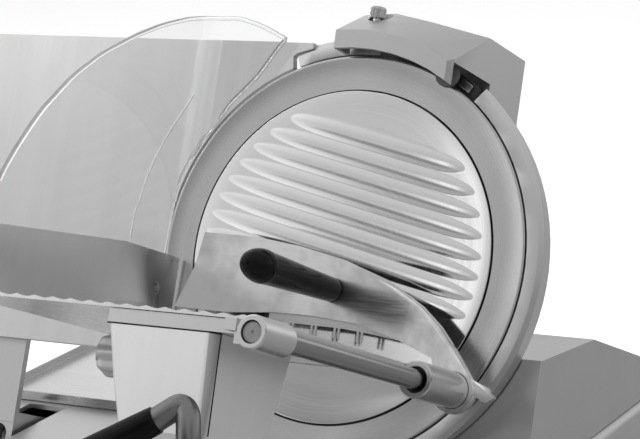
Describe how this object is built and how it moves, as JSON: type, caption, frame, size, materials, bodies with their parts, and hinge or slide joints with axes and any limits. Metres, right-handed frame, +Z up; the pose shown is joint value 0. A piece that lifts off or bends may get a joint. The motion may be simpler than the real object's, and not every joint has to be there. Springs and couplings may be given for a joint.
{
  "type": "meat slicer",
  "caption": "Gravity-feed meat slicer with a leaning round blade under a ribbed cover, ring guard, sliding tray carriage with pusher, gauge plate and sharpener.",
  "frame": {"origin": "centre of the whole machine's box on the plane the feet stand on", "axes": "+X along the carriage travel towards the operator's right, +Y away from the operator, +Z up"},
  "size_m": [0.56, 0.5934, 0.4056],
  "materials": {
    "cast": "cast aluminium, bead blasted and anodised",
    "satin": "satin anodised sheet aluminium",
    "polished": "polished aluminium",
    "steel": "ground and brushed stainless steel",
    "black": "glossy black moulded plastic",
    "rubber": "matt black rubber",
    "belt": "black belt rubber",
    "clear": "clear polished acrylic",
    "white": "white moulded plastic",
    "red": "red moulded plastic",
    "green": "green lamp lens",
    "stone": "grey abrasive",
    "motor": "dark grey paint",
    "bronze": "bearing bronze"
  },
  "bodies": {
    "frame": {"base_casting": "cast", "bottom_plate": "steel", "foot_front_left": "rubber", "foot_front_right": "rubber", "foot_rear_left": "rubber", "foot_rear_right": "rubber", "head_casting": "cast", "front_bearing": "steel", "rear_bearing": "steel", "blade_cover": "polished", "drive_belt": "belt", "motor_body": "motor", "rear_cover": "cast", "gauge_guide_bar": "steel", "slice_deflector": "steel", "slice_tray": "steel", "switch_panel": "black", "run_lamp": "green", "mains_inlet": "black", "carriage_guide_bar": "steel", "guide_block_left": "cast", "guide_block_right": "cast"},
    "blade_unit": {"blade": "steel", "blade_spindle": "steel", "blade_screw_1": "steel", "blade_screw_2": "steel", "blade_screw_3": "steel", "driven_pulley": "satin"},
    "motor_rotor": {"motor_shaft": "steel", "motor_pulley": "satin"},
    "cover_rod": {"cover_tie_rod": "steel", "cover_knob": "black"},
    "gauge": {"gauge_plate": "satin", "gauge_support": "cast"},
    "thickness_dial": {"thickness_knob": "black", "thickness_cam": "steel"},
    "start": {"start_button": "white"},
    "stop": {"stop_button": "red"},
    "carriage": {"carriage_slide_block": "bronze", "carriage_arm": "cast", "carriage_frame": "cast", "pusher_rod": "steel", "tray_plate": "satin", "tray_wall": "satin", "hand_guard": "clear", "wall_screw": "steel", "handle_tube": "steel", "handle_grip": "black"},
    "tray_lock": {"tray_lock_knob": "black"},
    "pusher_slider": {"pusher_liner": "black"},
    "pusher": {"pusher_bush": "cast", "pusher_plate": "polished", "pusher_teeth": "steel", "pusher_grip": "black"},
    "sharpener": {"sharpener_housing": "cast"},
    "sharpener_screw": {"sharpener_knob": "steel"},
    "grinding_push": {"grinding_button": "black"},
    "grinding_wheel": {"grinding_stone": "stone"},
    "honing_pull": {"honing_button": "black"},
    "honing_wheel": {"honing_stone": "stone"}
  },
  "joints": [
    {"name": "blade_spin", "type": "hinge", "parent": "frame", "child": "blade_unit", "pos_m": [0.115, 0.094, 0.235], "axis": [0, -0.9063, 0.4226], "continuous": true},
    {"name": "motor_spin", "type": "hinge", "parent": "frame", "child": "motor_rotor", "pos_m": [0.205, 0.06019, 0.1625], "axis": [0, -0.9063, 0.4226], "continuous": true},
    {"name": "cover_knob_turn", "type": "hinge", "parent": "frame", "child": "cover_rod", "pos_m": [0.115, 0.094, 0.235], "axis": [0, 0.9063, -0.4226], "range_deg": [0, 180]},
    {"name": "gauge_slide", "type": "slide", "parent": "frame", "child": "gauge", "axis": [0, 0.9063, -0.4226], "range_m": [0, 0.015]},
    {"name": "thickness_knob_turn", "type": "hinge", "parent": "frame", "child": "thickness_dial", "pos_m": [-0.203, -0.111, 0.062], "axis": [0, -1, 0], "range_deg": [0, 300]},
    {"name": "start_press", "type": "slide", "parent": "frame", "child": "start", "axis": [0, 1, 0], "range_m": [0, 0.003], "stiffness_N_per_m": 500, "springref_m": -0.002},
    {"name": "stop_press", "type": "slide", "parent": "frame", "child": "stop", "axis": [0, 1, 0], "range_m": [0, 0.003], "stiffness_N_per_m": 500, "springref_m": -0.002},
    {"name": "carriage_travel", "type": "slide", "parent": "frame", "child": "carriage", "axis": [1, 0, 0], "range_m": [-0.27, 0]},
    {"name": "tray_lock_turn", "type": "hinge", "parent": "carriage", "child": "tray_lock", "pos_m": [0.113, -0.15556, 0.23221], "axis": [-1, 0, 0], "range_deg": [0, 180]},
    {"name": "pusher_slide", "type": "slide", "parent": "carriage", "child": "pusher_slider", "axis": [0, -0.9063, 0.4226], "range_m": [0, 0.17]},
    {"name": "pusher_swing", "type": "hinge", "parent": "pusher_slider", "child": "pusher", "pos_m": [0.235, 0.05554, 0.15253], "axis": [0, 0.9063, -0.4226], "range_deg": [0, 45]},
    {"name": "sharpener_lift", "type": "slide", "parent": "frame", "child": "sharpener", "axis": [0, 0.4226, 0.9063], "range_m": [0, 0.025]},
    {"name": "sharpener_knob_turn", "type": "hinge", "parent": "sharpener", "child": "sharpener_screw", "pos_m": [0.1146, 0.17786, 0.39616], "axis": [0, 0.4226, 0.9063], "range_deg": [0, 180]},
    {"name": "grinding_press", "type": "slide", "parent": "sharpener", "child": "grinding_push", "axis": [0, -0.9063, 0.4226], "range_m": [0, 0.0015], "stiffness_N_per_m": 600, "springref_m": -0.002},
    {"name": "grinding_spin", "type": "hinge", "parent": "grinding_push", "child": "grinding_wheel", "pos_m": [0.15563, 0.15809, 0.37244], "axis": [0, -0.9063, 0.4226], "continuous": true},
    {"name": "honing_draw", "type": "slide", "parent": "sharpener", "child": "honing_pull", "axis": [0, 0.9063, -0.4226], "range_m": [0, 0.0015], "stiffness_N_per_m": 600, "springref_m": -0.002},
    {"name": "honing_spin", "type": "hinge", "parent": "honing_pull", "child": "honing_wheel", "pos_m": [0.18753, 0.15165, 0.35863], "axis": [0, -0.9063, 0.4226], "continuous": true}
  ],
  "couplings": [
    {"joint": "motor_spin", "follows": "blade_spin", "ratio": 2},
    {"joint": "thickness_knob_turn", "follows": "gauge_slide", "rad_per_m": 349}
  ]
}
